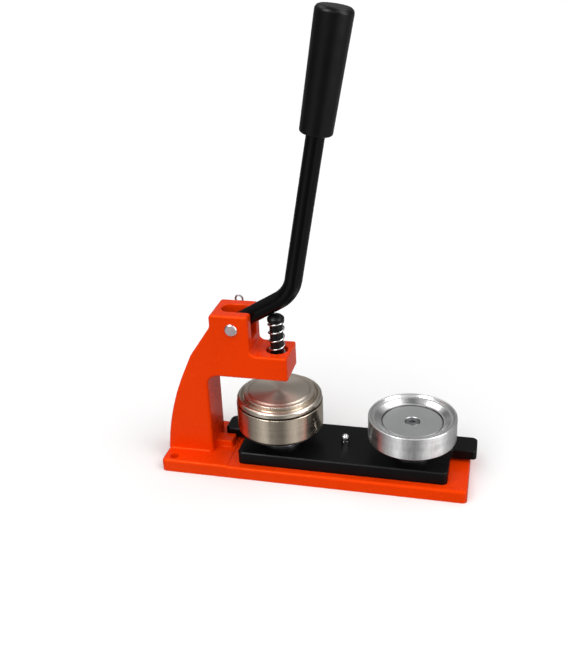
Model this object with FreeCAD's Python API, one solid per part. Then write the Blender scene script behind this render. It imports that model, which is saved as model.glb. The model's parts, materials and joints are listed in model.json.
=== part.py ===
# Hand-lever button badge press: a bench press with a cast C-frame on a flat base, a bent
# lever that drives a sprung plunger, and a swivelling die plate with two sprung lower
# dies and one loose upper die.
# Millimetres. X runs along the base (column at -X), Y to the back, Z up.
# The origin is the middle of the base's underside.
import FreeCAD, Part
import math
import os

V = FreeCAD.Vector

# ------------------------------------------------------------------ driving dimensions
# base
BASE_L = 284.8          # length along X
BASE_W = 78.4           # depth along Y
BASE_T = 11.8           # thickness under the swivel plate
PAD_T = 12.4            # thickness of the raised end under the column
PAD_X = -78.0           # step between the raised end and the milled swivel face
BASE_R = 4.0            # plan corner radius
BASE_EDGE_R = 2.8       # top edge rounding
BENCH_X = -131.9        # bench screw holes, one at each corner of the column end
BENCH_Y = 31.5
BENCH_R = 4.2
STOP_X0, STOP_X1 = -96.97, -80.6    # stop block for the swivel plate's lugs
STOP_HALF_Y = 7.2
STOP_TOP = 19.0
STOP_FOOT_R = 1.3       # hollow fillet round the block's foot
# C-frame
FRAME_HALF_Y = 18.2     # half the casting's depth
COL_RIGHT = -97.0       # column's throat face
HEAD_BOT = 95.0
LEDGE_Z = 118.6
HEAD_RIGHT = -20.8
UPPER_RIGHT = -54.7
HEAD_TOP = 156.8
FRAME_EDGE_R = 2.6      # front edges; the back edges are sharper
FRAME_BACK_R = 1.0
BEAD_R = 2.2            # bead along the foot of the column
SLOT_HALF = 8.2         # lever slot
SLOT_LEFT = -83.5
SLOT_FLOOR = 130.0
# lever
PIV_X, PIV_Z = -70.3, 143.6
PIN_R = 4.0
ROD_R = 7.85
ARM_DEG = 30.9          # lower arm above the horizontal at rest
ROD_DEG = 79.68         # upper rod above the horizontal at rest
BEND_X, BEND_Z = -18.4, 174.1
BEND_R = 30.0
GRIP_S0, GRIP_S1 = 142.8, 240.3     # grip's ends, measured along the rod from the bend point
GRIP_R0, GRIP_R1 = 13.8, 15.5
# plunger
PL_X = -33.8            # plunger and left die axis
PL_R = 6.0
PL_BORE_R = 6.05
CBORE_R, CBORE_FLOOR = 9.8, 110.0
CBORE_EDGE = 0.6        # countersunk rim of the spring pocket
CAP_R, CAP_Z0, CAP_TOP = 7.7, 147.0, 153.9
CAP_DOME_R = 9.6        # crown of the cap that the lever rides on
FOOT_R, FOOT_Z0, FOOT_Z1 = 8.2, 90.0, 94.6
FOOT_REC = 2.7          # socket in the foot for the shaft
SPR_MEAN_R, SPR_WIRE_R, SPR_PITCH = 6.95, 0.75, 9.0
# swivel plate
SW_X = 27.8             # swivel axis
DIE_OFF = 61.6          # die axis from the swivel axis
SW_HALF_L, SW_HALF_W = 96.6, 31.9
SW_Z0, SW_Z1 = 12.1, 24.1
LUG_END, LUG_Y0, LUG_Z0 = 119.8, 7.5, 15.2
BOLT_R, BOLT_HOLE_R = 3.0, 3.05
# dies
DIE_R = 40.0
CORE_R = 27.0
CORE_GAP = 1.0          # open ring between core and die ring
POST_R = 10.0
POST_BORE_R = 10.05     # sliding fit of the die ring on its post
SEAT_R, SEAT_H = 20.0, 3.0      # foot of the post, which the die spring stands on
RING_Z0 = 40.1
DIE_A_X = SW_X - DIE_OFF
DIE_B_X = SW_X + DIE_OFF

os.makedirs("parts", exist_ok=True)


# ------------------------------------------------------------------ helpers
def rounded_edges(pts, place, closed=True):
    """Straight runs and tangent arcs through 2-D points (u, v, corner radius)."""
    n = len(pts)
    ins, outs, mids = [], [], []
    for i in range(n):
        p = pts[i]
        r = p[2] if len(p) > 2 else 0.0
        if (not closed and i in (0, n - 1)) or r <= 0:
            ins.append((p[0], p[1])), outs.append((p[0], p[1])), mids.append(None)
            continue
        a, b = pts[i - 1], pts[(i + 1) % n]
        d1 = (p[0] - a[0], p[1] - a[1])
        d2 = (b[0] - p[0], b[1] - p[1])
        l1, l2 = math.hypot(*d1), math.hypot(*d2)
        d1, d2 = (d1[0] / l1, d1[1] / l1), (d2[0] / l2, d2[1] / l2)
        turn = math.atan2(d1[0] * d2[1] - d1[1] * d2[0], d1[0] * d2[0] + d1[1] * d2[1])
        t = r * math.tan(abs(turn) / 2)
        p_in = (p[0] - d1[0] * t, p[1] - d1[1] * t)
        p_out = (p[0] + d2[0] * t, p[1] + d2[1] * t)
        s = 1 if turn > 0 else -1
        c = (p_in[0] - d1[1] * r * s, p_in[1] + d1[0] * r * s)
        w = (p[0] - c[0], p[1] - c[1])
        k = r / math.hypot(*w)
        ins.append(p_in), outs.append(p_out), mids.append((c[0] + w[0] * k, c[1] + w[1] * k))
    edges = []
    for i in range(n):
        if mids[i] is not None:
            edges.append(Part.Arc(place(*ins[i]), place(*mids[i]), place(*outs[i])).toShape())
        j = (i + 1) % n
        if j == 0 and not closed:
            break
        a, b = place(*outs[i]), place(*ins[j])
        if a.distanceToPoint(b) > 1e-6:
            edges.append(Part.LineSegment(a, b).toShape())
    return edges


def face(pts, place):
    return Part.Face(Part.Wire(rounded_edges(pts, place)))


def plate(pts, z0, z1):
    """Upright prism from an XY outline."""
    return face(pts, lambda x, y: V(x, y, z0)).extrude(V(0, 0, z1 - z0))


def turned(pts, x, y=0.0):
    """Turned piece from a half section (radius, z, corner radius) about a vertical axis."""
    s = face(pts, lambda r, z: V(r, 0, z)).revolve(V(0, 0, 0), V(0, 0, 1), 360)
    s.translate(V(x, y, 0))
    return s


def cyl(r, z0, z1, x, y=0.0):
    return Part.makeCylinder(r, z1 - z0, V(x, y, z0))


def box(x0, x1, y0, y1, z0, z1):
    return Part.makeBox(x1 - x0, y1 - y0, z1 - z0, V(x0, y0, z0))


def edges_where(shape, test):
    return [e for e in shape.Edges if test(e)]


def hexagon(across_flats, x, y, z0, z1, turn=0.0):
    r = across_flats / math.sqrt(3)
    pts = [(x + r * math.cos(turn + math.pi / 3 * k), y + r * math.sin(turn + math.pi / 3 * k)) for k in range(6)]
    return plate(pts, z0, z1)


def coil(mean_r, wire_r, z0, z1, pitch, x, y=0.0):
    """Round-wire compression spring that just fits between two seats."""
    helix = Part.makeHelix(pitch, z1 - z0 - 2 * wire_r, mean_r)
    prof = Part.Wire(Part.makeCircle(wire_r, V(mean_r, 0, 0), V(0, 1, 0)))
    s = Part.Wire(helix.Edges).makePipeShell([prof], True, True)
    s.translate(V(x, y, z0 + wire_r))
    return s


def socket_screw(x, y, head_z, head_r, head_h, shank_r, tip_z, up=1, key=5.0):
    """Socket cap screw; the head's seat is at head_z and the shank points away from the head."""
    if up > 0:          # shank points up, head below
        head = cyl(head_r, head_z - head_h, head_z, x, y)
        head = head.makeFillet(0.5, edges_where(head, lambda e: abs(e.BoundBox.ZMax - (head_z - head_h)) < 1e-6 and e.BoundBox.ZLength < 1e-6))
        sock = hexagon(key, x, y, head_z - head_h - 1, head_z - head_h * 0.45)
        shank = cyl(shank_r, head_z, tip_z, x, y)
    else:
        head = cyl(head_r, head_z, head_z + head_h, x, y)
        head = head.makeFillet(0.5, edges_where(head, lambda e: abs(e.BoundBox.ZMin - (head_z + head_h)) < 1e-6 and e.BoundBox.ZLength < 1e-6))
        sock = hexagon(key, x, y, head_z + head_h * 0.45, head_z + head_h + 1)
        shank = cyl(shank_r, tip_z, head_z, x, y)
    return head.fuse(shank).cut(sock).removeSplitter()


def keep(name, shape):
    solids = shape.Solids
    if len(solids) == 1:
        out = solids[0]
    else:
        out = Part.makeCompound(solids)
    print("%-24s solids %d  valid %s  volume %.0f" % (name, len(solids), out.isValid(), out.Volume))
    out.exportStep("parts/%s.step" % name)


# ------------------------------------------------------------------ base
SCREW_XY = [(-131.0, -9.5), (-131.0, 9.5), (-110.0, -9.5), (-110.0, 9.5)]
hl, hw = BASE_L / 2, BASE_W / 2
floor_part = plate([(-hl, -hw, BASE_R), (hl, -hw, BASE_R), (hl, hw, BASE_R), (-hl, hw, BASE_R)], 0, BASE_T)
floor_part = floor_part.makeFillet(BASE_EDGE_R, edges_where(floor_part, lambda e: e.BoundBox.ZMin > BASE_T - 1e-6))
pad = plate([(-hl, -hw, BASE_R), (PAD_X, -hw), (PAD_X, hw), (-hl, hw, BASE_R)], 0, PAD_T)
pad = pad.makeFillet(BASE_EDGE_R, edges_where(pad, lambda e: e.BoundBox.ZMin > PAD_T - 1e-6 and e.BoundBox.XMin < PAD_X - 1e-6))
stop = box(STOP_X0, STOP_X1, -STOP_HALF_Y, STOP_HALF_Y, 6, STOP_TOP)
stop = stop.makeFillet(2.2, edges_where(stop, lambda e: e.BoundBox.XMin > STOP_X1 - 1e-6 and (e.BoundBox.ZLength > 5 or e.BoundBox.ZMin > STOP_TOP - 1e-6)))
stop = stop.makeFillet(1.4, edges_where(stop, lambda e: e.BoundBox.ZMin > STOP_TOP - 1e-6 and e.BoundBox.XLength > 10))
base = floor_part.fuse(pad).fuse(stop).removeSplitter()
base = base.makeFillet(STOP_FOOT_R, edges_where(base, lambda e: abs(e.BoundBox.ZMin - PAD_T) < 1e-6 and e.BoundBox.ZLength < 1e-6
    and e.BoundBox.XMin > STOP_X0 - 1e-3 and e.BoundBox.XMax < STOP_X1 + 1e-3 and abs(e.BoundBox.YMax) < STOP_HALF_Y + 1e-3 and e.BoundBox.XLength + e.BoundBox.YLength > 1
    and e.BoundBox.XMax > STOP_X0 + 1))
base = base.cut(cyl(15.0, 10.8, 20, SW_X))                       # seat for the thrust washer
base = base.cut(cyl(BOLT_R + 0.1, -1, 20, SW_X))                 # swivel bolt
base = base.cut(cyl(7.6, -1, 5.6, SW_X))                         # bolt head sunk from below
for x, y in SCREW_XY:
    base = base.cut(cyl(3.3, -1, 20, x, y)).cut(cyl(5.6, -1, 6.6, x, y))
for s in (-1, 1):
    base = base.cut(cyl(BENCH_R, -1, 20, BENCH_X, s * BENCH_Y))
base = base.removeSplitter()
keep("base_plate", base)

# ------------------------------------------------------------------ C-frame casting
outline = [
    (-BASE_L / 2, PAD_T), (COL_RIGHT, PAD_T), (COL_RIGHT, HEAD_BOT, 11.0), (HEAD_RIGHT, HEAD_BOT, 1.6),
    (HEAD_RIGHT, LEDGE_Z, 1.6), (UPPER_RIGHT, LEDGE_Z, 5.0), (UPPER_RIGHT, HEAD_TOP, 2.4), (-91.2, HEAD_TOP, 4.0),
    (-91.2, 144.1, 9.0), (-111.7, 114.05, 14.0), (-136.2, 60.2, 258.0),
]
cf = face(outline, lambda x, z: V(x, -FRAME_HALF_Y, z)).extrude(V(0, 2 * FRAME_HALF_Y, 0))
for y, r in ((-FRAME_HALF_Y, FRAME_EDGE_R), (FRAME_HALF_Y, FRAME_BACK_R)):
    cf = cf.makeFillet(r, edges_where(cf, lambda e: e.BoundBox.YLength < 1e-6 and abs(e.BoundBox.YMin - y) < 1e-6 and e.BoundBox.ZMax > PAD_T + 1e-6))
# hollow bead where the column stands on the base, front and back
for s in (-1, 1):
    y0, y1, zb = s * (FRAME_HALF_Y - 1.5), s * (FRAME_HALF_Y + BEAD_R), PAD_T + BEAD_R
    ym, k = s * FRAME_HALF_Y, BEAD_R * (1 - math.sqrt(0.5))
    xa, xb = -BASE_L / 2 + 3.2, COL_RIGHT - 3.0
    bead = Part.Face(Part.Wire([
        Part.LineSegment(V(xa, y0, PAD_T), V(xa, y1, PAD_T)).toShape(), Part.LineSegment(V(xa, y1, PAD_T), V(xa, y1, PAD_T + 0.25)).toShape(),
        Part.Arc(V(xa, y1, PAD_T + 0.25), V(xa, ym + s * k, PAD_T + 0.25 + k), V(xa, ym, zb + 0.25)).toShape(),
        Part.LineSegment(V(xa, ym, zb + 0.25), V(xa, y0, zb + 0.25)).toShape(), Part.LineSegment(V(xa, y0, zb + 0.25), V(xa, y0, PAD_T)).toShape()]))
    cf = cf.fuse(bead.extrude(V(xb - xa, 0, 0)))
cf = cf.removeSplitter()
# lever slot, open at the top and towards the plunger
slot = box(SLOT_LEFT + SLOT_HALF, UPPER_RIGHT + 6, -SLOT_HALF, SLOT_HALF, SLOT_FLOOR, HEAD_TOP + 10)
slot = slot.fuse(cyl(SLOT_HALF, SLOT_FLOOR, HEAD_TOP + 10, SLOT_LEFT + SLOT_HALF)).removeSplitter()
cf = cf.cut(slot)
cf = cf.makeChamfer(0.5, edges_where(cf, lambda e: e.BoundBox.ZMin > HEAD_TOP - 1e-6 and abs(e.BoundBox.YMin) < SLOT_HALF + 1e-3
    and abs(e.BoundBox.YMax) < SLOT_HALF + 1e-3 and e.BoundBox.XMax < UPPER_RIGHT - 1))
# pivot pin hole, plunger bore, spring pocket
cf = cf.cut(Part.makeCylinder(PIN_R + 0.04, 80, V(PIV_X, -40, PIV_Z), V(0, 1, 0)))
cf = cf.cut(cyl(PL_BORE_R, 80, 140, PL_X)).cut(turned([
    (0, CBORE_FLOOR), (CBORE_R, CBORE_FLOOR), (CBORE_R, LEDGE_Z - CBORE_EDGE), (CBORE_R + CBORE_EDGE, LEDGE_Z), (CBORE_R + CBORE_EDGE, LEDGE_Z + 8), (0, LEDGE_Z + 8)], PL_X))
for x, y in SCREW_XY:
    cf = cf.cut(cyl(3.05, 0, 32, x, y))
keep("c_frame", cf)

screws = [socket_screw(x, y, 6.55, 5.0, 6.0, 3.0, 29.0, up=1) for x, y in SCREW_XY]
keep("frame_screws", Part.makeCompound(screws))

# ------------------------------------------------------------------ lever pivot pin, washer and clip
Y_BACK = FRAME_HALF_Y
pin_pts = [(0, -Y_BACK - 2.3), (4.7, -Y_BACK - 2.3, 0.4), (5.9, -Y_BACK - 1.2, 0.4), (5.9, -Y_BACK - 0.03), (PIN_R, -Y_BACK - 0.03), (PIN_R, 25.8, 1.0), (0, 25.8)]
pin = face(pin_pts, lambda r, y: V(r, y, 0)).revolve(V(0, 0, 0), V(0, 1, 0), 360)
pin.translate(V(PIV_X, 0, PIV_Z))
CLIP_Y = 21.8
CLIP_W = 0.9            # clip wire radius
pin = pin.cut(Part.makeCylinder(CLIP_W + 0.1, 20, V(PIV_X, CLIP_Y, PIV_Z - 10)))
keep("lever_pivot_pin", pin)
washer = Part.makeCylinder(7.6, 1.5, V(PIV_X, Y_BACK + 0.03, PIV_Z), V(0, 1, 0)).cut(
    Part.makeCylinder(PIN_R + 0.15, 1.5 + 2, V(PIV_X, Y_BACK - 1, PIV_Z), V(0, 1, 0)))
keep("pivot_washer", washer)

# R-clip: straight leg through the pin's cross hole, an eye at the top, bowed leg round the pin
EYE_R, EYE_X, EYE_Z = 3.35, PIV_X - 3.35, 156.5


def on_clip(x, z):
    return V(x, CLIP_Y, z)


a_end = math.radians(222)
e_end = (EYE_X + EYE_R * math.cos(a_end), EYE_Z + EYE_R * math.sin(a_end))
t_end = (-math.sin(a_end), math.cos(a_end))
leg = [
    (e_end[0], e_end[1]), (e_end[0] + 3.2 * t_end[0], e_end[1] + 3.2 * t_end[1], 2.2), (PIV_X - 5.4, PIV_Z + 3.9, 3.4),
    (PIV_X - 5.4, PIV_Z - 3.1, 3.4), (PIV_X - 2.6, PIV_Z - 6.5, 1.6), (PIV_X - 5.5, PIV_Z - 10.7),
]
path = [Part.LineSegment(on_clip(PIV_X, PIV_Z - 11.2), on_clip(PIV_X, EYE_Z)).toShape(),
        Part.Arc(on_clip(PIV_X, EYE_Z), on_clip(EYE_X + EYE_R * math.cos(a_end / 2), EYE_Z + EYE_R * math.sin(a_end / 2)), on_clip(*e_end)).toShape()]
path += rounded_edges(leg, on_clip, closed=False)
prof = Part.Wire(Part.makeCircle(CLIP_W, on_clip(PIV_X, PIV_Z - 11.2), V(0, 0, 1)))
clip = Part.Wire(path).makePipeShell([prof], True, False)
keep("hairpin_clip", clip)

# ------------------------------------------------------------------ swivel pivot: shoulder bolt, thrust washer, dome nut
NUT_Z0 = SW_Z1 + 0.1
bolt = hexagon(12.6, SW_X, 0, 0.6, 5.55).fuse(cyl(BOLT_R, 5.55, NUT_Z0, SW_X)).fuse(cyl(1.95, NUT_Z0, NUT_Z0 + 6.4, SW_X)).removeSplitter()
keep("swivel_pivot_bolt", bolt)
keep("thrust_washer", cyl(14.6, 10.8, 12.05, SW_X).cut(cyl(BOLT_R + 0.12, 5, 20, SW_X)))
nut_hex = hexagon(7.0, SW_X, 0, NUT_Z0, NUT_Z0 + 4.7, turn=math.radians(12)).common(
    turned([(0, NUT_Z0), (3.7, NUT_Z0), (4.2, NUT_Z0 + 0.4), (4.2, NUT_Z0 + 3.8), (3.6, NUT_Z0 + 4.7), (0, NUT_Z0 + 4.7)], SW_X))
dome = turned([(0, NUT_Z0 + 4.7), (3.6, NUT_Z0 + 4.7), (3.6, NUT_Z0 + 10.4, 3.5), (0, NUT_Z0 + 10.4)], SW_X)
nut = nut_hex.fuse(dome).cut(cyl(2.0, NUT_Z0 - 1, NUT_Z0 + 6.6, SW_X)).removeSplitter()
keep("swivel_dome_nut", nut)

# ------------------------------------------------------------------ lever: bent rod and grip
A, B = math.radians(ARM_DEG), math.radians(ROD_DEG)
da, db = V(math.cos(A), 0, math.sin(A)), V(math.cos(B), 0, math.sin(B))
bend = V(BEND_X, 0, BEND_Z)
tl = BEND_R * math.tan((B - A) / 2)
arm_start = bend + da * ((V(PIV_X, 0, PIV_Z) - bend).dot(da) - 9.0)
t1, t2 = bend - da * tl, bend + db * tl
rod_top = bend + db * (GRIP_S1 - 12.0)
up_n = V(-math.sin(A), 0, math.cos(A))
centre = t1 + up_n * BEND_R
mid = centre + V(math.sin((A + B) / 2), 0, -math.cos((A + B) / 2)) * BEND_R
route = Part.Wire([Part.LineSegment(arm_start, t1).toShape(), Part.Arc(t1, mid, t2).toShape(), Part.LineSegment(t2, rod_top).toShape()])
section = Part.Wire(Part.makeCircle(ROD_R, arm_start, da))
rod = route.makePipeShell([section], True, True)
rod = rod.makeFillet(3.0, edges_where(rod, lambda e: (e.CenterOfMass - arm_start).Length < 0.5))
rod = rod.cut(Part.makeCylinder(PIN_R + 0.05, 60, V(PIV_X, -30, PIV_Z), V(0, 1, 0)))
keep("lever_rod", rod)

g0, g1 = GRIP_S0, GRIP_S1
grip_pts = [(ROD_R + 0.02, g0), (GRIP_R0, g0, 2.2), (GRIP_R1, g1, 4.5), (0, g1), (0, g1 - 11.9), (ROD_R + 0.02, g1 - 11.9)]


def along_rod(r, s):
    n = V(math.sin(B), 0, -math.cos(B))
    return bend + db * s + n * r


grip = face(grip_pts, along_rod).revolve(bend, db, 360)
keep("lever_grip", grip)

# ------------------------------------------------------------------ plunger
shaft = cyl(PL_R, FOOT_Z1 - FOOT_REC, CAP_Z0 + 3.0, PL_X).cut(cyl(2.55, FOOT_Z1 - 4, FOOT_Z1 + 14, PL_X))
keep("plunger_shaft", shaft)
cap = turned([(0, CAP_Z0 + 3.05), (PL_R + 0.02, CAP_Z0 + 3.05), (PL_R + 0.02, CAP_Z0), (CAP_R, CAP_Z0, 0.6), (CAP_R, CAP_TOP + 2), (0, CAP_TOP + 2)], PL_X)
cap = cap.common(Part.makeSphere(CAP_DOME_R, V(PL_X, 0, CAP_TOP - CAP_DOME_R)))
cap = cap.removeSplitter()
cap = cap.makeFillet(0.5, edges_where(cap, lambda e: abs(e.BoundBox.XLength - 2 * CAP_R) < 0.1 and e.BoundBox.ZMin > CAP_Z0 + 2))
keep("plunger_cap", cap)
foot = turned([(0, FOOT_Z0), (FOOT_R, FOOT_Z0, 0.8), (FOOT_R, FOOT_Z1, 0.4), (PL_R + 0.02, FOOT_Z1), (PL_R + 0.02, FOOT_Z1 - FOOT_REC - 0.02), (0, FOOT_Z1 - FOOT_REC - 0.02)], PL_X)
foot = foot.cut(cyl(2.6, 80, 100, PL_X)).cut(turned([(0, FOOT_Z0 - 0.1), (4.5, FOOT_Z0 - 0.1), (2.6, FOOT_Z0 + 1.8), (0, FOOT_Z0 + 1.8)], PL_X))
keep("press_foot", foot)
fs = turned([(0, FOOT_Z0 + 0.1), (4.2, FOOT_Z0 + 0.1), (2.5, FOOT_Z0 + 1.75), (2.5, FOOT_Z1 + 11.0), (0, FOOT_Z1 + 11.0)], PL_X)
fs = fs.cut(hexagon(3.0, PL_X, 0, FOOT_Z0 - 1, FOOT_Z0 + 1.4))
keep("foot_screw", fs)
keep("return_spring", coil(SPR_MEAN_R, SPR_WIRE_R, CBORE_FLOOR + 0.02, CAP_Z0 - 0.02, SPR_PITCH, PL_X))

# ------------------------------------------------------------------ swivel plate with its two stop lugs
x0, x1 = SW_X - SW_HALF_L, SW_X + SW_HALF_L
l0, l1 = SW_X - LUG_END, SW_X + LUG_END
upper_pl = plate([
    (x0, -SW_HALF_W, 5), (x1, -SW_HALF_W, 5), (x1, LUG_Y0, 3), (l1, LUG_Y0, 4), (l1, SW_HALF_W, 5),
    (l0, SW_HALF_W, 6), (l0, LUG_Y0, 4), (x0, LUG_Y0, 3)], LUG_Z0, SW_Z1)
upper_pl = upper_pl.makeChamfer(0.9, edges_where(upper_pl, lambda e: e.BoundBox.ZMin > SW_Z1 - 1e-6))
lower_pl = plate([(x0, -SW_HALF_W, 5), (x1, -SW_HALF_W, 5), (x1, SW_HALF_W, 1), (x0, SW_HALF_W, 1)], SW_Z0, LUG_Z0)
sw = upper_pl.fuse(lower_pl).removeSplitter()
sw = sw.cut(cyl(BOLT_HOLE_R, 0, 40, SW_X))
for dx in (DIE_A_X, DIE_B_X):
    sw = sw.cut(cyl(4.05, SW_Z0 + 1.6, 40, dx))
keep("swivel_plate", sw)

# ------------------------------------------------------------------ lower dies
GAP = 0.4
# die B: wide funnel ring that centres the badge back
B_CORE_Z0, B_CORE_Z1 = 46.4, 55.4
B_TOP = 61.4


def die_post(x, top):
    return turned([(4.2, SW_Z1), (SEAT_R, SW_Z1), (SEAT_R, SW_Z1 + SEAT_H, 0.8), (POST_R, SW_Z1 + SEAT_H), (POST_R, top), (4.2, top)], x)


keep("die_b_post", die_post(DIE_B_X, B_CORE_Z0))
core_b = turned([(0, B_CORE_Z0), (CORE_R, B_CORE_Z0, 0.4), (CORE_R, B_CORE_Z1, 0.5), (0, B_CORE_Z1)], DIE_B_X)
core_b = core_b.cut(cyl(4.2, 0, 80, DIE_B_X)).cut(cyl(7.0, B_CORE_Z1 - 5.6, 80, DIE_B_X))
core_b = core_b.makeChamfer(0.35, edges_where(core_b, lambda e: abs(e.BoundBox.ZMin - B_CORE_Z1) < 1e-6 and e.BoundBox.XLength < 15))
keep("die_b_core", core_b)
keep("die_b_screw", socket_screw(DIE_B_X, 0, B_CORE_Z1 - 5.58, 6.5, 5.0, 4.0, SW_Z0 + 3.0, up=-1, key=5.0))
ring_b = turned([
    (POST_BORE_R, RING_Z0 + 0.9), (DIE_R - 1.0, RING_Z0 + 0.9), (DIE_R - 1.0, RING_Z0), (DIE_R, RING_Z0, 0.5), (DIE_R, B_TOP, 0.6),
    (38.0, B_TOP, 0.3), (36.4, B_TOP - 2.0, 0.5), (34.4, B_TOP - 2.2, 0.5), (29.4, B_TOP - 5.0, 1.0), (CORE_R + CORE_GAP, B_TOP - 5.3),
    (CORE_R + CORE_GAP, B_CORE_Z0 - GAP), (POST_BORE_R, B_CORE_Z0 - GAP)], DIE_B_X)
keep("die_b_ring", ring_b)
keep("die_b_spring", coil(14.0, 0.9, SW_Z1 + SEAT_H + 0.02, RING_Z0 + 0.88, 5.36, DIE_B_X))

# die A: narrower ring with a foot flange that carries the upper die's sleeve
A_CORE_Z0, A_CORE_Z1 = 44.4, 51.2
A_FL = 41.8
A_TOP = 60.0
keep("die_a_post", die_post(DIE_A_X, A_CORE_Z0))
core_a = turned([(0, A_CORE_Z0), (CORE_R, A_CORE_Z0, 0.4), (CORE_R, A_CORE_Z1, 0.8), (0, A_CORE_Z1)], DIE_A_X)
core_a = core_a.cut(cyl(4.2, 0, 80, DIE_A_X)).cut(cyl(7.0, A_CORE_Z1 - 4.2, 80, DIE_A_X))
keep("die_a_core", core_a)
keep("die_a_screw", socket_screw(DIE_A_X, 0, A_CORE_Z1 - 4.18, 6.5, 3.8, 4.0, SW_Z0 + 3.0, up=-1, key=4.0))
ring_a = turned([
    (POST_BORE_R, 40.6), (38.4, 40.6), (38.4, RING_Z0 - 0.1), (39.5, RING_Z0 - 0.1, 0.4), (39.5, A_FL, 0.4), (36.2, A_FL), (36.2, A_TOP, 0.5),
    (35.2, A_TOP, 0.2), (34.6, A_TOP - 2.0, 0.3), (30.0, A_TOP - 4.0, 0.6), (CORE_R + CORE_GAP, A_TOP - 4.6), (CORE_R + CORE_GAP, A_CORE_Z0 - GAP),
    (POST_BORE_R, A_CORE_Z0 - GAP)], DIE_A_X)
keep("die_a_ring", ring_a)
keep("die_a_spring", coil(14.0, 0.9, SW_Z1 + SEAT_H + 0.02, 40.58, 5.2, DIE_A_X))

# ------------------------------------------------------------------ upper die: punch, sprung sleeve, springs, retaining ring
SL_Z0, SL_Z1 = 42.0, 66.8
WEB_Z0 = 63.6
PN_R = 30.0
FL_Z0 = 68.4
punch = turned([
    (0, 60.5), (PN_R, 60.5, 0.5), (PN_R, 61.75), (PN_R - 1.2, 61.75), (PN_R - 1.2, 63.4), (PN_R, 63.4), (PN_R, FL_Z0),
    (39.5, FL_Z0, 0.4), (39.5, 73.2, 2.6), (36.3, 73.2, 0.6), (34.2, 71.7, 0.2), (33.2, 71.7, 0.2), (33.2, 76.5, 0.7), (29.6, 76.5, 0.5), (27.7, 77.3, 0.8), (0, 77.3)], DIE_A_X)
SPR = [(DIE_A_X + 34.6 * math.cos(math.pi / 4 + k * math.pi / 2), 34.6 * math.sin(math.pi / 4 + k * math.pi / 2)) for k in range(4)]
for x, y in SPR:
    punch = punch.cut(cyl(2.8, 60, 70.6, x, y).common(box(x - 9, x + 9, y - 9, y + 9, FL_Z0 - 0.5, 71)))
keep("upper_die_punch", punch)
sleeve = turned([
    (36.7, SL_Z0), (40.1, SL_Z0, 0.5), (40.1, SL_Z1, 0.8), (PN_R + 0.06, SL_Z1), (PN_R + 0.06, WEB_Z0), (36.7, WEB_Z0)], DIE_A_X)
for x, y in SPR:
    sleeve = sleeve.cut(cyl(2.8, 65.2, 70, x, y))
keep("upper_die_sleeve", sleeve)
keep("upper_die_retaining_ring", turned([(PN_R - 1.15, 61.8), (32.6, 61.8), (32.6, 63.35), (PN_R - 1.15, 63.35)], DIE_A_X).cut(
    box(DIE_A_X - 40, DIE_A_X - 20, -2.5, 2.5, 60, 65)))
keep("upper_die_springs", Part.makeCompound([coil(2.0, 0.35, 65.22, 70.58, 1.5, x, y).Solids[0] for x, y in SPR]))
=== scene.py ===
# Looks for the hand-lever badge press: meshes, materials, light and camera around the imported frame.
# Metres, in the same frame as the CAD: X along the base, Y to the back, Z up.
import json
import math

import bmesh
import bpy
from mathutils import Matrix, Vector


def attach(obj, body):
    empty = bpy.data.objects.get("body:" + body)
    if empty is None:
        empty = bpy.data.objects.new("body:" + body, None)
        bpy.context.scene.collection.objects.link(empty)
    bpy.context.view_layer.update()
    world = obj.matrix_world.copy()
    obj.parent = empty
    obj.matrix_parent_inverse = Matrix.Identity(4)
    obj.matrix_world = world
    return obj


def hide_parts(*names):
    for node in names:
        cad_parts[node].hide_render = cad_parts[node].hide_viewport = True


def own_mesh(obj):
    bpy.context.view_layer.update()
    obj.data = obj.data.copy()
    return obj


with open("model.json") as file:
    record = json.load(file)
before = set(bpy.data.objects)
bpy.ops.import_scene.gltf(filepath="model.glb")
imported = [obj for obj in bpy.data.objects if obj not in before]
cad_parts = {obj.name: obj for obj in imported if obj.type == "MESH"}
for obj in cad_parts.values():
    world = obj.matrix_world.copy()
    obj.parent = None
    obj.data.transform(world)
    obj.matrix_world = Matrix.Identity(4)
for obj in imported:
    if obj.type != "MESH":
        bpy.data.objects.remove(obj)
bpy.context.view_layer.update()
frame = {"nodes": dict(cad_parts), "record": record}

MM = 0.001
scene = bpy.context.scene
nodes = frame["nodes"]
body_of = {n: b for b, ns in frame["record"]["behaviour"]["bodies"].items() for n in ns}

# axes of the turned pieces, millimetres
PL_X = -33.8
SW_X = 27.8
DIE_A_X, DIE_B_X = -33.8, 89.4
PIV_X, PIV_Z = -70.3, 143.6


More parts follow.
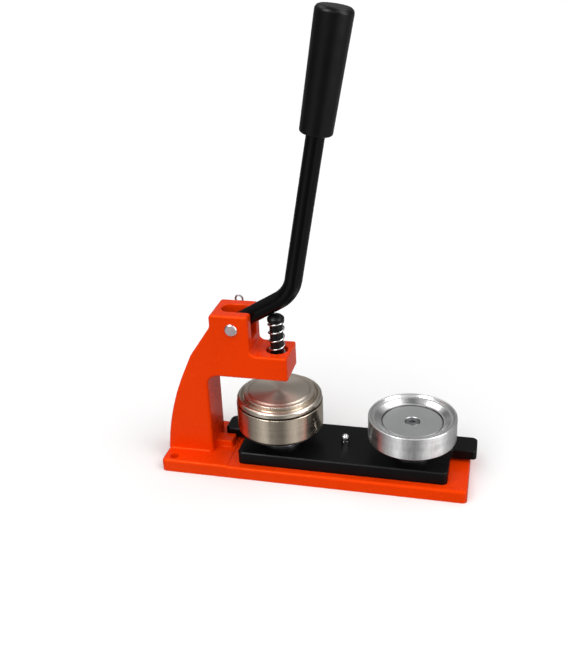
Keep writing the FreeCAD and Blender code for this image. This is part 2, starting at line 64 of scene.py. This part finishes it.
# ---------------------------------------------------------------- material helpers
class Mat:
    """A node material with a principled shader; the small methods add one node each."""

    def __init__(self, name):
        self.mat = bpy.data.materials.new(name)
        self.mat.use_nodes = True
        self.tree = self.mat.node_tree
        self.tree.nodes.clear()
        self.out = self.add("ShaderNodeOutputMaterial")
        self.bsdf = self.add("ShaderNodeBsdfPrincipled")
        self.link(self.bsdf.outputs["BSDF"], self.out.inputs["Surface"])
        self.coord = self.add("ShaderNodeTexCoord")

    def add(self, kind, **props):
        n = self.tree.nodes.new(kind)
        for k, v in props.items():
            setattr(n, k, v)
        return n

    def link(self, a, b):
        self.tree.links.new(a, b)

    def put(self, socket, value):
        if isinstance(value, bpy.types.NodeSocket):
            self.link(value, socket)
        else:
            socket.default_value = value

    @property
    def object(self):
        return self.coord.outputs["Object"]

    def noise(self, vector, scale, detail=2.0, rough=0.5, distort=0.0):
        n = self.add("ShaderNodeTexNoise")
        self.link(vector, n.inputs["Vector"])
        n.inputs["Scale"].default_value = scale
        n.inputs["Detail"].default_value = detail
        n.inputs["Roughness"].default_value = rough
        n.inputs["Distortion"].default_value = distort
        return n.outputs["Fac"]

    def cells(self, vector, scale, feature="F1", randomness=1.0):
        n = self.add("ShaderNodeTexVoronoi", feature=feature)
        self.link(vector, n.inputs["Vector"])
        n.inputs["Scale"].default_value = scale
        n.inputs["Randomness"].default_value = randomness
        return n.outputs["Distance"]

    def math(self, op, a, b=0.0, c=0.0):
        n = self.add("ShaderNodeMath", operation=op)
        for i, v in enumerate((a, b, c)):
            self.put(n.inputs[i], v)
        return n.outputs[0]

    def remap(self, value, a, b, c, d, smooth=False):
        n = self.add("ShaderNodeMapRange", interpolation_type="SMOOTHSTEP" if smooth else "LINEAR")
        for k, v in zip(("Value", "From Min", "From Max", "To Min", "To Max"), (value, a, b, c, d)):
            self.put(n.inputs[k], v)
        return n.outputs["Result"]

    def mix(self, fac, a, b):
        n = self.add("ShaderNodeMix", data_type="RGBA")
        self.put(n.inputs[0], fac)
        for i, v in ((6, a), (7, b)):
            self.put(n.inputs[i], v if isinstance(v, bpy.types.NodeSocket) else (*v, 1.0))
        return n.outputs[2]

    def split(self, vector):
        n = self.add("ShaderNodeSeparateXYZ")
        self.link(vector, n.inputs[0])
        return n.outputs

    def join(self, x, y, z):
        n = self.add("ShaderNodeCombineXYZ")
        for i, v in enumerate((x, y, z)):
            self.put(n.inputs[i], v)
        return n.outputs[0]

    def bump(self, height, distance, strength=1.0, normal=None):
        n = self.add("ShaderNodeBump")
        self.link(height, n.inputs["Height"])
        n.inputs["Distance"].default_value = distance
        n.inputs["Strength"].default_value = strength
        if normal is not None:
            self.link(normal, n.inputs["Normal"])
        return n.outputs["Normal"]

    def set(self, **values):
        for k, v in values.items():
            self.put(self.bsdf.inputs[k.replace("_", " ")], v)
        return self


def shade(c, k):
    return tuple(min(1.0, x * k) for x in c)


def coat(name, colour, rough, spec, peel=1.0, wave=1.0, vary=0.06, tint=(1.0, 1.0, 1.0)):
    """Baked coating on cast or cut metal: fine orange peel, slow waviness, nibs and uneven gloss."""
    m = Mat(name)
    o = m.object
    slow = m.noise(o, 14.0, 2.0)
    fine = m.noise(o, 420.0, 3.0, 0.6)
    tone = m.math("ADD", m.math("MULTIPLY", slow, 0.75), m.math("MULTIPLY", fine, 0.25))
    m.set(Base_Color=m.mix(m.remap(tone, 0.35, 0.65, 0.0, 1.0), shade(colour, 1.0 - vary), shade(colour, 1.0 + vary)))
    gloss = m.noise(o, 55.0, 4.0, 0.55)
    m.set(Roughness=m.remap(gloss, 0.3, 0.7, rough - 0.05, rough + 0.06))
    m.bsdf.inputs["Specular IOR Level"].default_value = spec
    n = m.bump(m.noise(o, 75.0, 2.0), 0.00035 * wave)
    n = m.bump(m.noise(o, 720.0, 2.0, 0.5), 0.00007 * peel, normal=n)
    nib = m.remap(m.cells(o, 190.0), 0.0, 0.07, 1.0, 0.0, smooth=True)
    n = m.bump(nib, 0.00006, normal=n)
    m.set(Normal=n)
    m.bsdf.inputs["Specular Tint"].default_value = (*tint, 1.0)
    return m.mat


def turned_metal(name, colour, rough, aniso, groove=1.0, pitch=3800.0, vary=0.05, chatter=0.0, soft_above=None, bright_inside=None):
    """Metal cut on a lathe about the object's own Z: fine rings, uneven feed, faint chatter, a few handling marks."""
    m = Mat(name)
    x, y, z = m.split(m.object)
    r = m.math("SQRT", m.math("ADD", m.math("MULTIPLY", x, x), m.math("MULTIPLY", y, y)))
    rc = m.math("MAXIMUM", r, 0.0035)       # no pip left at the centre
    lines = m.noise(m.join(m.math("MULTIPLY", rc, pitch), m.math("MULTIPLY", z, pitch), 0.0), 1.0, 2.0, 0.65)
    bands = m.noise(m.join(m.math("MULTIPLY", rc, pitch * 0.14), m.math("MULTIPLY", z, pitch * 0.14), 0.0), 1.0, 2.0, 0.5)
    smear = m.noise(m.object, 42.0, 4.0, 0.6)
    marks = m.noise(m.object, 900.0, 2.0, 0.5)
    tone = m.math("ADD", m.math("MULTIPLY", lines, 0.5), m.math("MULTIPLY", bands, 0.5))
    if chatter:         # upright streaks that the tool leaves on the outside
        far = m.math("MAXIMUM", r, 0.0005)
        streak = m.noise(m.join(m.math("DIVIDE", x, far), m.math("DIVIDE", y, far), m.math("MULTIPLY", z, 7.0)), 16.0, 2.0, 0.6)
        tone = m.math("ADD", tone, m.math("MULTIPLY", m.math("SUBTRACT", streak, 0.5), m.remap(r, 0.0392, 0.0398, 0.0, chatter)))
    m.set(Base_Color=m.mix(m.remap(tone, 0.3, 0.7, 0.0, 1.0), shade(colour, 1.0 - vary), shade(colour, 1.0 + vary)))
    rr = m.math("ADD", m.remap(bands, 0.3, 0.7, rough - 0.03, rough + 0.03), m.remap(smear, 0.3, 0.75, -0.02, 0.03))
    if soft_above:      # the flat face above this height is cut with a coarser feed
        height, extra = soft_above
        rr = m.math("ADD", rr, m.remap(z, height - 0.0006, height, 0.0, extra))
    if bright_inside:   # the bored faces inside this radius are cut brighter than the outside
        edge, less = bright_inside
        rr = m.math("SUBTRACT", rr, m.remap(r, edge - 0.0005, edge, less, 0.0))
    m.set(Roughness=rr)
    m.bsdf.inputs["Metallic"].default_value = 1.0
    m.bsdf.inputs["Anisotropic"].default_value = aniso
    m.bsdf.inputs["Anisotropic Rotation"].default_value = 0.25      # gloss spreads across the rings
    t = m.add("ShaderNodeTangent", direction_type="RADIAL", axis="Z")
    m.set(Tangent=t.outputs[0])
    n = m.bump(lines, 0.000003 * groove)
    n = m.bump(bands, 0.00001 * groove, normal=n)
    n = m.bump(marks, 0.000003, normal=n)
    m.set(Normal=n)
    return m.mat


def satin_metal(name, colour, rough, vary=0.05):
    """Flat faced metal with a fine blasted grain and very faint tool rings."""
    m = Mat(name)
    x, y, z = m.split(m.object)
    r = m.math("SQRT", m.math("ADD", m.math("MULTIPLY", x, x), m.math("MULTIPLY", y, y)))
    rings = m.noise(m.join(m.math("MULTIPLY", r, 1500.0), m.math("MULTIPLY", z, 1500.0), 0.0), 1.0, 2.0, 0.6)
    grain = m.noise(m.object, 2600.0, 2.0, 0.6)
    cloud = m.noise(m.object, 60.0, 3.0, 0.55)
    tone = m.math("ADD", m.math("MULTIPLY", rings, 0.3), m.math("ADD", m.math("MULTIPLY", grain, 0.4), m.math("MULTIPLY", cloud, 0.3)))
    m.set(Base_Color=m.mix(m.remap(tone, 0.35, 0.65, 0.0, 1.0), shade(colour, 1.0 - vary), shade(colour, 1.0 + vary)))
    m.set(Roughness=m.remap(tone, 0.35, 0.65, rough - 0.03, rough + 0.04))
    m.bsdf.inputs["Metallic"].default_value = 1.0
    n = m.bump(grain, 0.00002)
    m.set(Normal=m.bump(rings, 0.000006, normal=n))
    return m.mat


def plated(name, colour, rough, grain=1.0, vary=0.05, metallic=1.0, spec=0.5):
    """Plated, oxide or bright hardware metal: light mottling and tumbling marks."""
    m = Mat(name)
    o = m.object
    cloud = m.noise(o, 160.0, 4.0, 0.6)
    fine = m.noise(o, 1900.0, 2.0, 0.6)
    m.set(Base_Color=m.mix(m.remap(cloud, 0.35, 0.65, 0.0, 1.0), shade(colour, 1.0 - vary), shade(colour, 1.0 + vary)))
    m.set(Roughness=m.remap(cloud, 0.3, 0.7, rough - 0.04, rough + 0.07))
    m.bsdf.inputs["Metallic"].default_value = metallic
    m.bsdf.inputs["Specular IOR Level"].default_value = spec
    n = m.bump(cloud, 0.00003 * grain)
    n = m.bump(fine, 0.000015 * grain, normal=n)
    m.set(Normal=n)
    return m.mat


def wire(name, colour, rough, metallic=1.0):
    """Drawn spring wire: fine streaks round the coil and a little oil darkening."""
    m = Mat(name)
    x, y, z = m.split(m.object)
    r = m.math("SQRT", m.math("ADD", m.math("MULTIPLY", x, x), m.math("MULTIPLY", y, y)))
    streak = m.noise(m.join(m.math("MULTIPLY", r, 5200.0), m.math("MULTIPLY", z, 2600.0), 0.0), 1.0, 2.0, 0.6)
    stain = m.noise(m.object, 120.0, 3.0, 0.6)
    m.set(Base_Color=m.mix(m.remap(stain, 0.4, 0.7, 0.0, 1.0), shade(colour, 1.06), shade(colour, 0.8)))
    m.set(Roughness=m.remap(streak, 0.3, 0.7, rough - 0.05, rough + 0.08))
    m.bsdf.inputs["Metallic"].default_value = metallic
    m.set(Normal=m.bump(streak, 0.00002))
    return m.mat


def moulded(name, colour, rough, spec):
    """Moulded grip: fine stipple with a slow sink-mark waviness and hand-polished patches."""
    m = Mat(name)
    o = m.object
    patch = m.noise(o, 30.0, 3.0, 0.55)
    m.set(Base_Color=m.mix(m.remap(patch, 0.35, 0.65, 0.0, 1.0), shade(colour, 0.85), shade(colour, 1.18)))
    m.set(Roughness=m.remap(patch, 0.3, 0.7, rough - 0.06, rough + 0.05))
    m.bsdf.inputs["Specular IOR Level"].default_value = spec
    n = m.bump(m.noise(o, 60.0, 1.0), 0.0003)
    n = m.bump(m.noise(o, 1500.0, 2.0, 0.6), 0.00006, normal=n)
    m.set(Normal=n)
    return m.mat


MATS = {
    "orange_coat": coat("orange_powder_coat", (0.855, 0.0425, 0.0004), 0.26, 0.3, peel=0.8, wave=0.8, vary=0.04, tint=(1.0, 0.34, 0.08)),
    "black_coat": coat("black_powder_coat", (0.003, 0.003, 0.0032), 0.36, 0.12, peel=1.3, wave=0.6, vary=0.2),
    "black_enamel": coat("black_enamel", (0.0008, 0.0008, 0.0009), 0.18, 0.16, peel=0.35, wave=0.5, vary=0.2),
    "black_steel": plated("black_oxide", (0.004, 0.0038, 0.004), 0.34, metallic=0.0, spec=0.2, vary=0.25),
    "grip_rubber": moulded("grip_moulded", (0.0018, 0.0018, 0.0019), 0.33, 0.2),
    "die_aluminium": turned_metal("turned_aluminium", (0.78, 0.78, 0.78), 0.31, 0.82, vary=0.11, chatter=1.1, bright_inside=(0.0386, 0.09)),
    "die_stainless": turned_metal("turned_stainless", (0.61, 0.54, 0.46), 0.27, 0.76, soft_above=(0.0766, 0.08)),
    "zinc_steel": plated("zinc_plate", (0.66, 0.56, 0.57), 0.22),
    "chrome_nut": plated("chrome_plate", (0.80, 0.81, 0.83), 0.1, grain=0.4, vary=0.02),
    "screw_steel": plated("screw_steel", (0.34, 0.34, 0.35), 0.34),
    "spring_steel": wire("spring_wire", (0.62, 0.61, 0.60), 0.16),
    "sleeve_stainless": turned_metal("polished_stainless", (0.53, 0.45, 0.36), 0.24, 0.8, vary=0.07, chatter=0.7),
    # painted shade: near-black colour for die A's aluminium ring, standing for the shade and dark reflection under the
    # sleeve
    "ring_a_painted_shade": turned_metal("painted_shade_turned_metal", (0.055, 0.05, 0.047), 0.26, 0.7),
    "turned_screw": turned_metal("turned_screw", (0.32, 0.32, 0.33), 0.24, 0.85, pitch=6000.0),
    "satin_aluminium": satin_metal("satin_aluminium", (0.58, 0.59, 0.59), 0.34),
    "clip_wire": plated("clip_wire", (0.40, 0.40, 0.41), 0.28),
    "black_spring": wire("black_spring_wire", (0.03, 0.03, 0.032), 0.34, metallic=0.3),
}


# ---------------------------------------------------------------- mesh helpers
def finish_mesh(obj, sharp=30.0, weighted=True):
    me = obj.data
    for p in me.polygons:
        p.use_smooth = True
    me.set_sharp_from_angle(angle=math.radians(sharp))
    if weighted:
        w = obj.modifiers.new("shading", "WEIGHTED_NORMAL")
        w.mode = "FACE_AREA"
        w.keep_sharp = True
    return obj


def settle(obj, slot, body, *replaced, mat=None):
    obj.data.materials.clear()
    obj.data.materials.append(mat or MATS[slot])
    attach(obj, body)
    if replaced:
        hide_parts(*replaced)
    return obj


def reskin(node, name, slot, origin=(0.0, 0.0, 0.0), sharp=28.0, mat=None):
    """A welded copy of a CAD node with continuous shading over its roundings, on its own axis."""
    me = bpy.data.meshes.new(name)
    bm = bmesh.new()
    bm.from_mesh(nodes[node].data)
    bmesh.ops.remove_doubles(bm, verts=bm.verts, dist=2e-6)
    bmesh.ops.dissolve_degenerate(bm, edges=bm.edges, dist=1e-7)
    o = Vector(origin) * MM
    bmesh.ops.translate(bm, verts=bm.verts, vec=-o)
    bmesh.ops.recalc_face_normals(bm, faces=bm.faces)
    bm.to_mesh(me)
    bm.free()
    for a in [a.name for a in me.attributes if a.name in ("custom_normal", "sharp_edge", "sharp_face")]:
        me.attributes.remove(me.attributes[a])
    obj = bpy.data.objects.new(name, me)
    scene.collection.objects.link(obj)
    obj.location = o
    finish_mesh(obj, sharp)
    return settle(obj, slot, body_of[node], node, mat=mat)


def rounded(pts, closed, seg=6):
    """Points (r, z, radius) to a polyline with its corners rounded."""
    out, n = [], len(pts)
    for i, p in enumerate(pts):
        rad = p[2] if len(p) > 2 else 0.0
        b = Vector((p[0], p[1]))
        if rad <= 0 or (not closed and i in (0, n - 1)):
            out.append(b)
            continue
        a, c = Vector(pts[i - 1][:2]), Vector(pts[(i + 1) % n][:2])
        u, v = (a - b).normalized(), (c - b).normalized()
        half = u.angle(v) / 2
        t = rad / math.tan(half)
        mid = b + (u + v).normalized() * (rad / math.sin(half))
        s, e = b + u * t - mid, b + v * t - mid
        turn = math.atan2(s.x * e.y - s.y * e.x, s.dot(e))
        steps = max(2, math.ceil(abs(turn) / (math.pi / 2) * seg))
        for k in range(steps + 1):
            q = turn * k / steps
            out.append(mid + Vector((s.x * math.cos(q) - s.y * math.sin(q), s.x * math.sin(q) + s.y * math.cos(q))))
    return out


def lathe(name, pts, closed, turns=224, seg=6):
    """Revolves a millimetre profile about the object's own Z."""
    prof = rounded(pts, closed, seg)
    me = bpy.data.meshes.new(name)
    bm = bmesh.new()
    rings = []
    for p in prof:
        if p.x < 1e-6:
            rings.append([bm.verts.new((0, 0, p.y * MM))])
        else:
            rings.append([bm.verts.new((p.x * MM * math.cos(2 * math.pi * k / turns), p.x * MM * math.sin(2 * math.pi * k / turns), p.y * MM)) for k in range(turns)])
    pairs = list(zip(rings, rings[1:])) + ([(rings[-1], rings[0])] if closed else [])
    for a, b in pairs:
        for k in range(turns):
            j = (k + 1) % turns
            loop = [a[k % len(a)], a[j % len(a)], b[j % len(b)], b[k % len(b)]]
            face = [v for i, v in enumerate(loop) if v not in loop[:i]]
            if len(face) > 2:
                bm.faces.new(face)
    bmesh.ops.recalc_face_normals(bm, faces=bm.faces)
    bm.to_mesh(me)
    bm.free()
    obj = bpy.data.objects.new(name, me)
    scene.collection.objects.link(obj)
    return finish_mesh(obj)


def coil(name, mean_r, wire_r, z0, z1, turns, dead, phase, around=20, steps=48, flat=True, knots=None):
    """Compression spring with closed, ground ends, about the object's own Z."""
    lo, hi = z0 + wire_r * 0.55, z1 - wire_r * 0.55
    if not flat:
        lo, hi = z0 + wire_r, z1 - wire_r
    total = turns + 2 * dead
    step = 2.05 * wire_r

    if knots:
        total = knots[-1][0]

    def height(t):
        if knots:
            i = max(k for k in range(len(knots) - 1) if knots[k][0] <= t)
            (ta, za), (tb, zb) = knots[i], knots[i + 1]
            return za + (zb - za) * (t - ta) / (tb - ta)
        if t < dead:
            return lo + step * t
        if t > total - dead:
            return hi - step * (total - t)
        a, b = lo + step * dead, hi - step * dead
        return a + (b - a) * (t - dead) / turns

    me = bpy.data.meshes.new(name)
    bm = bmesh.new()
    n = int(total * steps)
    path = [Vector((mean_r * math.cos(2 * math.pi * total * i / n + phase), mean_r * math.sin(2 * math.pi * total * i / n + phase), height(total * i / n))) for i in range(n + 1)]
    rings = []
    for i, p in enumerate(path):
        tangent = (path[min(i + 1, n)] - path[max(i - 1, 0)]).normalized()
        radial = Vector((p.x, p.y, 0)).normalized()
        side = tangent.cross(radial).normalized()
        ring = []
        for k in range(around):
            q = 2 * math.pi * k / around
            v = p + radial * (wire_r * math.cos(q)) + side * (wire_r * math.sin(q))
            v.z = min(max(v.z, z0), z1)
            ring.append(bm.verts.new(v * MM))
        rings.append(ring)
    for a, b in zip(rings, rings[1:]):
        for k in range(around):
            j = (k + 1) % around
            bm.faces.new((a[k], a[j], b[j], b[k]))
    bm.faces.new(rings[0][::-1])
    bm.faces.new(rings[-1])
    bmesh.ops.recalc_face_normals(bm, faces=bm.faces)
    bm.to_mesh(me)
    bm.free()
    obj = bpy.data.objects.new(name, me)
    scene.collection.objects.link(obj)
    return finish_mesh(obj, 40.0, weighted=False)


def at(obj, x, y=0.0, z=0.0):
    obj.location = (x * MM, y * MM, z * MM)
    return obj


# ---------------------------------------------------------------- frame body
reskin("base_plate", "base", "orange_coat")
reskin("c_frame", "casting", "orange_coat")
reskin("frame_screws", "column_screws", "screw_steel")
reskin("lever_pivot_pin", "pivot_pin", "zinc_steel", (PIV_X, 0, PIV_Z))
reskin("pivot_washer", "pin_washer", "zinc_steel", (PIV_X, 0, PIV_Z))
reskin("hairpin_clip", "pin_clip", "zinc_steel", mat=MATS["clip_wire"])
reskin("swivel_pivot_bolt", "swivel_bolt", "screw_steel", (SW_X, 0, 0))
reskin("thrust_washer", "swivel_washer", "screw_steel", (SW_X, 0, 0))
reskin("swivel_dome_nut", "dome_nut", "chrome_nut", (SW_X, 0, 0))

# the top turn is closed against the cap, the rest rises 8.1 mm a turn
spring = at(coil("plunger_spring", 6.95, 0.75, 110.02, 146.98, 0.0, 0.0, math.radians(-75.0 - 0.36 * 360), flat=False,
                 knots=[(0.0, 110.77), (0.08, 111.1), (0.36, 113.3), (4.22, 144.7), (4.36, 145.75), (4.48, 146.2), (4.75, 146.23)]), PL_X)
settle(spring, "spring_steel", "frame", "return_spring")
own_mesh(spring)

# ---------------------------------------------------------------- lever
reskin("lever_rod", "lever_bar", "black_enamel")
reskin("lever_grip", "handle_grip", "grip_rubber")

# ---------------------------------------------------------------- plunger
reskin("plunger_shaft", "plunger_rod", "black_steel", (PL_X, 0, 0))
reskin("plunger_cap", "plunger_button", "black_steel", (PL_X, 0, 0))
reskin("press_foot", "foot", "black_steel", (PL_X, 0, 0))
reskin("foot_screw", "foot_fixing", "screw_steel", (PL_X, 0, 0))

# ---------------------------------------------------------------- swivel plate and lower dies
reskin("swivel_plate", "turn_plate", "black_coat")
for side, x in (("a", DIE_A_X), ("b", DIE_B_X)):
    reskin("die_%s_post" % side, "post_" + side, "screw_steel", (x, 0, 0))
    reskin("die_%s_core" % side, "core_" + side, "die_aluminium", (x, 0, 0), mat=MATS["satin_aluminium"])
    reskin("die_%s_screw" % side, "core_screw_" + side, "screw_steel", (x, 0, 0), mat=MATS["turned_screw"])
    # die A's ring takes the painted-shade near-black material; die B's ring keeps the plain aluminium
    reskin("die_%s_ring" % side, "ring_" + side, "die_aluminium", (x, 0, 0), mat=MATS["ring_a_painted_shade"] if side == "a" else None)
    top = 40.98 if side == "b" else 40.58
    s = at(coil("die_spring_" + side, 14.0, 0.9, 27.12, top, 2.0, 0.9, 0.4), x)
    settle(s, "black_spring", "swivel", "die_%s_spring" % side)
    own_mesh(s)

# ---------------------------------------------------------------- upper die
reskin("upper_die_punch", "punch", "die_stainless", (DIE_A_X, 0, 0))
reskin("upper_die_sleeve", "sleeve", "die_stainless", (DIE_A_X, 0, 0), mat=MATS["sleeve_stainless"])
reskin("upper_die_retaining_ring", "circlip", "screw_steel", (DIE_A_X, 0, 0))
small = reskin("upper_die_springs", "sleeve_springs", "black_spring", (DIE_A_X, 0, 0))
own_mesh(small)

# ---------------------------------------------------------------- floor, light, camera
floor_mat = Mat("studio_floor")
tone = floor_mat.noise(floor_mat.object, 3.0, 2.0)
floor_mat.set(Base_Color=floor_mat.mix(tone, (0.955, 0.955, 0.955), (0.965, 0.965, 0.965)))
floor_mat.bsdf.inputs["Roughness"].default_value = 0.8
floor_mat.bsdf.inputs["Specular IOR Level"].default_value = 0.1
fm = bpy.data.meshes.new("floor")
fm.from_pydata([(-14, -14, 0), (14, -14, 0), (14, 14, 0), (-14, 14, 0)], [], [(0, 1, 2, 3)])
floor = bpy.data.objects.new("floor", fm)
floor.location = (0, 0, -0.0004)
floor.data.materials.append(floor_mat.mat)
scene.collection.objects.link(floor)

floor.visible_glossy = False        # the room's grey, not the pale floor, shows in the metal
floor.visible_diffuse = False       # and lights the press from below

# a plain grey studio: soft light and dark zones round the press, fixed in the world
world = bpy.data.worlds.new("studio")
scene.world = world
world.use_nodes = True
wt = world.node_tree


def wnode(kind, *inputs, **props):
    n = wt.nodes.new(kind)
    for k, v in props.items():
        setattr(n, k, v)
    for i, v in enumerate(inputs):
        if isinstance(v, bpy.types.NodeSocket):
            wt.links.new(v, n.inputs[i])
        else:
            n.inputs[i].default_value = v
    return n


def wmath(op, *inputs):
    return wnode("ShaderNodeMath", *inputs, operation=op).outputs[0]


def wramp(value, lo, hi, stops):
    n = wt.nodes.new("ShaderNodeValToRGB")
    wt.links.new(wnode("ShaderNodeMapRange", value, lo, hi, 0.0, 1.0).outputs[0], n.inputs[0])
    for i, (pos, v) in enumerate(stops):
        e = n.color_ramp.elements[i] if i < 2 else n.color_ramp.elements.new((pos - lo) / (hi - lo))
        e.position, e.color = (pos - lo) / (hi - lo), (v, v, v, 1.0)
    n.color_ramp.interpolation = "EASE"
    return wnode("ShaderNodeSeparateColor", n.outputs[0]).outputs[0]


FRONT = math.radians(-75.0)         # compass angle of the photographer
wx, wy, wz = wnode("ShaderNodeSeparateXYZ", wnode("ShaderNodeTexCoord").outputs["Generated"]).outputs
towards = wmath("ADD", wmath("MULTIPLY", wx, math.cos(FRONT)), wmath("MULTIPLY", wy, math.sin(FRONT)))
aside = wmath("ADD", wmath("MULTIPLY", wx, -math.sin(FRONT)), wmath("MULTIPLY", wy, math.cos(FRONT)))
around = wmath("MULTIPLY", wmath("ARCTAN2", aside, towards), 180 / math.pi)
below = wramp(around, -180, 180, [      # three pale strips in front, a dark gap at the left
    (-180, 0.30), (-125, 0.20), (-98, 0.12), (-78, 0.38), (-45, 0.85), (-28, 0.36), (0, 0.22), (39, 0.86), (52, 0.5), (70, 0.68), (104, 0.36), (180, 0.30)])
above = wramp(wz, 0, 1, [(0.0, 0.18), (0.2, 0.19), (0.44, 0.37), (0.6, 0.5), (0.76, 1.2), (0.9, 1.15), (0.97, 0.35), (1.0, 0.2)])
sides = wmath("ADD", wmath("MULTIPLY", wmath("ABSOLUTE", wmath("SINE", wmath("RADIANS", around))), 0.7), 0.3)
high = wnode("ShaderNodeMapRange", wz, 0.5, 0.75, 0.0, 1.0).outputs[0]
off = wmath("DIVIDE", wmath("SUBTRACT", wmath("ABSOLUTE", around), 146.0), 17.0)     # dark screens behind, left and right
up = wmath("DIVIDE", wmath("SUBTRACT", wz, 0.52), 0.17)
screen = wmath("EXPONENT", wmath("MULTIPLY", wmath("ADD", wmath("MULTIPLY", off, off), wmath("MULTIPLY", up, up)), -1.0))
above = wmath("MULTIPLY", above, wmath("ADD", 1.0, wmath("MULTIPLY", high, wmath("SUBTRACT", sides, 1.0))))
above = wmath("MULTIPLY", above, wmath("SUBTRACT", 1.0, wmath("MULTIPLY", screen, 0.8)))
up_mix = wnode("ShaderNodeMapRange", wz, -0.12, 0.12, 0.0, 1.0).outputs[0]
level = wmath("ADD", below, wmath("MULTIPLY", up_mix, wmath("SUBTRACT", above, below)))
bg = wt.nodes["Background"]
wt.links.new(level, bg.inputs["Strength"])
bg.inputs["Color"].default_value = (1.0, 1.0, 1.0, 1.0)


def softbox(name, azimuth, elevation, far, size, power):
    """A lamp panel seen only as a reflection, placed round the press by compass and height angles."""
    a, e = math.radians(azimuth), math.radians(elevation)
    centre = Vector((0.02, 0.0, 0.1))
    place = centre + Vector((math.cos(a) * math.cos(e), math.sin(a) * math.cos(e), math.sin(e))) * far
    data = bpy.data.lights.new(name, "AREA")
    data.shape = "RECTANGLE"
    data.size, data.size_y = size
    data.energy = power
    ob = bpy.data.objects.new(name, data)
    scene.collection.objects.link(ob)
    ob.location = place
    ob.rotation_euler = (centre - place).to_track_quat("-Z", "Y").to_euler()
    ob.visible_diffuse = False
    return ob


softbox("panel_right", -75.0 + 58.0, 28.0, 1.6, (0.8, 1.8), 23.0)
softbox("panel_front", -75.0, 36.0, 1.7, (1.5, 0.3), 2.2)
softbox("panel_back_right", -75.0 + 126.0, 60.0, 1.6, (0.7, 0.6), 3.0)
softbox("panel_back_left", -75.0 - 126.0, 60.0, 1.6, (0.7, 0.6), 3.0)
softbox("panel_left", -75.0 - 50.0, 47.0, 1.6, (0.7, 0.8), 16.0)

sun = bpy.data.lights.new("sky", "SUN")
sun.energy = 1.65
sun.angle = math.radians(70)
sky = bpy.data.objects.new("sky", sun)
scene.collection.objects.link(sky)
sky.rotation_euler = Vector((0.3, 0.95, -0.75)).to_track_quat("-Z", "Y").to_euler()
sky.visible_glossy = False

fill = bpy.data.lights.new("fill", "SUN")
fill.energy = 0.95
fill.angle = math.radians(40)
fill_ob = bpy.data.objects.new("fill", fill)
scene.collection.objects.link(fill_ob)
a, e = math.radians(-15.0), math.radians(52.0)
fill_ob.rotation_euler = Vector((-math.cos(a) * math.cos(e), -math.sin(a) * math.cos(e), -math.sin(e))).to_track_quat("-Z", "Y").to_euler()
fill_ob.visible_glossy = False

cam = bpy.data.cameras.new("photo_view")
cam.sensor_fit = "AUTO"
cam.sensor_width = 36.0
cam.lens = 866.5467 / 660.0 * 36.0
cam.clip_start, cam.clip_end = 0.02, 60.0
view = bpy.data.objects.new("photo_view", cam)
scene.collection.objects.link(view)
yaw, pitch, roll = (math.radians(a) for a in (14.972965, -25.746363, -2.692391))
ahead = Vector((-math.sin(yaw) * math.cos(pitch), math.cos(yaw) * math.cos(pitch), math.sin(pitch)))
right = Vector((math.cos(yaw), math.sin(yaw), 0))
up = right.cross(ahead)
right, up = right * math.cos(roll) + up * math.sin(roll), up * math.cos(roll) - right * math.sin(roll)
place = Matrix((right, up, -ahead)).transposed().to_4x4()
place.translation = Vector((0.1539526, -0.6732327, 0.4744566))
view.matrix_world = place
scene.camera = view

scene.view_settings.view_transform = "Standard"
scene.view_settings.look = "None"
